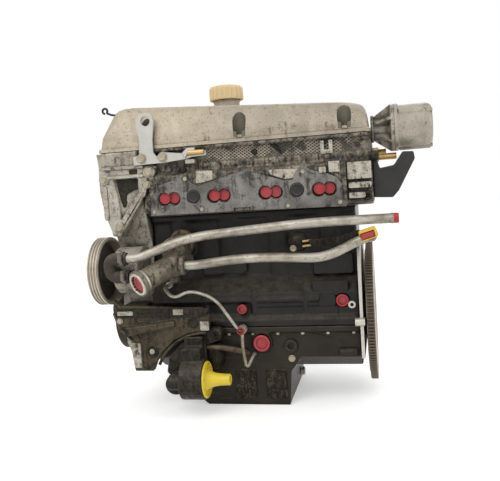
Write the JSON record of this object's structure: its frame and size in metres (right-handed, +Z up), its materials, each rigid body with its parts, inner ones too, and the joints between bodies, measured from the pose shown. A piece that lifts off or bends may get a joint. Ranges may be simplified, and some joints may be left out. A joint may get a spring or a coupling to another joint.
{
  "type": "petrol engine",
  "caption": "In-line petrol engine with twin overhead camshafts: block, head, covers, crank train, valve gear, pumps and pipes; turns at the flywheel.",
  "frame": {"origin": "on the crankshaft's axis, at the rear face of the flywheel, in the middle of the clutch cover's bolt circle", "axes": "+X out of the flywheel towards the gearbox, +Y towards the exhaust side, +Z up along the cylinders"},
  "size_m": [0.663, 0.3609, 0.634],
  "materials": {
    "block_paint": "black paint, dusty and oil-stained",
    "sump_paint": "black paint, scuffed",
    "head_casting": "as-cast, brown-stained",
    "cover_casting": "as-cast, warm grey",
    "case_casting": "as-cast, pale",
    "bracket_casting": "as-cast, brown dirt",
    "machined_steel": "machined",
    "dark_steel": "oiled, brown-grey",
    "spring_steel": "shot-peened",
    "pipe_steel": "dull grey-brown coating",
    "pulley_steel": "bright, dusty",
    "cast_iron": "dry, light rust",
    "piston_alloy": "turned",
    "gasket": "graphite composite",
    "port_plate": "blue-grey, dusty",
    "black_plastic": "satin",
    "red_plastic": "moulded",
    "yellow_plastic": "moulded",
    "cap_plastic": "cream",
    "hose_rubber": "dusty",
    "guide_plastic": "nylon",
    "bolt_zinc": "yellowed zinc",
    "brass": "dull",
    "ceramic": "steel shell, white insulator",
    "gear_steel": "brown-grey, dry"
  },
  "bodies": {
    "engine": {"cam_bearing_caps": "piston_alloy", "cam_cover": "cover_casting", "chain_guides": "guide_plastic", "chain_tensioner": "bracket_casting", "connecting_rods": "dark_steel", "coolant_hose": "hose_rubber", "coolant_outlet": "bracket_casting", "coolant_pipe_lower": "pipe_steel", "coolant_pipe_upper": "pipe_steel", "cylinder_head": "head_casting", "engine_block": "block_paint", "fasteners": "bolt_zinc", "filter_seat_plug": "yellow_plastic", "head_gasket": "gasket", "head_sensors": "brass", "hose_clamps": "machined_steel", "intake_core_plugs": "black_plastic", "intake_port_plate": "port_plate", "knock_sensor": "black_plastic", "lifting_eyes": "bolt_zinc", "main_bearing_caps": "cast_iron", "mount_bracket": "bracket_casting", "oil_feed_pipe": "pipe_steel", "oil_filter_housing": "bracket_casting", "oil_pickup": "dark_steel", "pipe_flange": "yellow_plastic", "rear_plate": "machined_steel", "sensor_bracket": "black_plastic", "spark_plugs": "ceramic", "sump": "sump_paint", "timing_chain": "dark_steel", "timing_cover": "case_casting", "transport_plugs": "red_plastic", "vacuum_pump_body": "case_casting", "vacuum_pump_neck": "case_casting", "valve_springs": "spring_steel", "water_pump_housing": "case_casting"},
    "crank_train": {"crankshaft": "dark_steel", "crank_sprocket": "dark_steel", "flywheel": "gear_steel", "ring_gear": "gear_steel", "crank_bolts": "dark_steel", "crank_pulley": "dark_steel"},
    "intake_cam": {"intake_camshaft": "machined_steel", "intake_cam_sprocket": "dark_steel"},
    "exhaust_cam": {"exhaust_camshaft": "machined_steel", "exhaust_cam_sprocket": "dark_steel"},
    "water_pump": {"water_pump_pulley": "pulley_steel"},
    "pistons_outer": {"pistons_1_4": "piston_alloy"},
    "pistons_inner": {"pistons_2_3": "piston_alloy"},
    "tensioner": {"tensioner_plunger": "machined_steel"},
    "filler_cap": {"oil_filler_cap": "cap_plastic"},
    "intake_valve_pair_1": {"intake_valves_1": "machined_steel"},
    "exhaust_valve_pair_1": {"exhaust_valves_1": "machined_steel"},
    "intake_valve_pair_2": {"intake_valves_2": "machined_steel"},
    "exhaust_valve_pair_2": {"exhaust_valves_2": "machined_steel"},
    "intake_valve_pair_3": {"intake_valves_3": "machined_steel"},
    "exhaust_valve_pair_3": {"exhaust_valves_3": "machined_steel"},
    "intake_valve_pair_4": {"intake_valves_4": "machined_steel"},
    "exhaust_valve_pair_4": {"exhaust_valves_4": "machined_steel"}
  },
  "joints": [
    {"name": "crank_turn", "type": "hinge", "parent": "engine", "child": "crank_train", "pos_m": [0, 0, 0], "axis": [1, 0, 0], "continuous": true, "deforming": ["connecting_rods", "timing_chain"]},
    {"name": "intake_cam_turn", "type": "hinge", "parent": "engine", "child": "intake_cam", "pos_m": [-0.2, -0.06, 0.352], "axis": [1, 0, 0], "continuous": true},
    {"name": "exhaust_cam_turn", "type": "hinge", "parent": "engine", "child": "exhaust_cam", "pos_m": [-0.2, 0.06, 0.352], "axis": [1, 0, 0], "continuous": true},
    {"name": "water_pump_turn", "type": "hinge", "parent": "engine", "child": "water_pump", "pos_m": [-0.5, -0.1074, 0.1131], "axis": [1, 0, 0], "continuous": true},
    {"name": "piston_outer_slide", "type": "slide", "parent": "engine", "child": "pistons_outer", "axis": [0, 0, 1], "range_m": [-0.086, 0], "deforming": ["connecting_rods"]},
    {"name": "piston_inner_slide", "type": "slide", "parent": "engine", "child": "pistons_inner", "axis": [0, 0, 1], "range_m": [0, 0.086]},
    {"name": "tensioner_slide", "type": "slide", "parent": "engine", "child": "tensioner", "axis": [0, 1, 0], "range_m": [0, 0.0015], "stiffness_N_per_m": 2000, "springref_m": -0.004},
    {"name": "filler_cap_turn", "type": "hinge", "parent": "engine", "child": "filler_cap", "pos_m": [-0.287, 0.038, 0.45], "axis": [0, 0, 1], "range_deg": [0, 90]},
    {"name": "intake_valve_lift_1", "type": "slide", "parent": "engine", "child": "intake_valve_pair_1", "axis": [0, 0.3173, -0.9483], "range_m": [0, 0.0085], "stiffness_N_per_m": 4000, "springref_m": -0.004, "deforming": ["valve_springs"]},
    {"name": "intake_valve_lift_2", "type": "slide", "parent": "engine", "child": "intake_valve_pair_2", "axis": [0, 0.3173, -0.9483], "range_m": [0, 0.0085], "stiffness_N_per_m": 4000, "springref_m": -0.004, "deforming": ["valve_springs"]},
    {"name": "intake_valve_lift_3", "type": "slide", "parent": "engine", "child": "intake_valve_pair_3", "axis": [0, 0.3173, -0.9483], "range_m": [0, 0.0085], "stiffness_N_per_m": 4000, "springref_m": -0.004, "deforming": ["valve_springs"]},
    {"name": "intake_valve_lift_4", "type": "slide", "parent": "engine", "child": "intake_valve_pair_4", "axis": [0, 0.3173, -0.9483], "range_m": [0, 0.0085], "stiffness_N_per_m": 4000, "springref_m": -0.004, "deforming": ["valve_springs"]},
    {"name": "exhaust_valve_lift_1", "type": "slide", "parent": "engine", "child": "exhaust_valve_pair_1", "axis": [0, -0.3173, -0.9483], "range_m": [0, 0.0085], "stiffness_N_per_m": 4000, "springref_m": -0.004, "deforming": ["valve_springs"]},
    {"name": "exhaust_valve_lift_2", "type": "slide", "parent": "engine", "child": "exhaust_valve_pair_2", "axis": [0, -0.3173, -0.9483], "range_m": [0, 0.0085], "stiffness_N_per_m": 4000, "springref_m": -0.004, "deforming": ["valve_springs"]},
    {"name": "exhaust_valve_lift_3", "type": "slide", "parent": "engine", "child": "exhaust_valve_pair_3", "axis": [0, -0.3173, -0.9483], "range_m": [0, 0.0085], "stiffness_N_per_m": 4000, "springref_m": -0.004, "deforming": ["valve_springs"]},
    {"name": "exhaust_valve_lift_4", "type": "slide", "parent": "engine", "child": "exhaust_valve_pair_4", "axis": [0, -0.3173, -0.9483], "range_m": [0, 0.0085], "stiffness_N_per_m": 4000, "springref_m": -0.004, "deforming": ["valve_springs"]}
  ],
  "couplings": [
    {"joint": "intake_cam_turn", "follows": "crank_turn", "ratio": 0.5},
    {"joint": "exhaust_cam_turn", "follows": "crank_turn", "ratio": 0.5},
    {"joint": "piston_inner_slide", "follows": "piston_outer_slide", "ratio": -1}
  ]
}
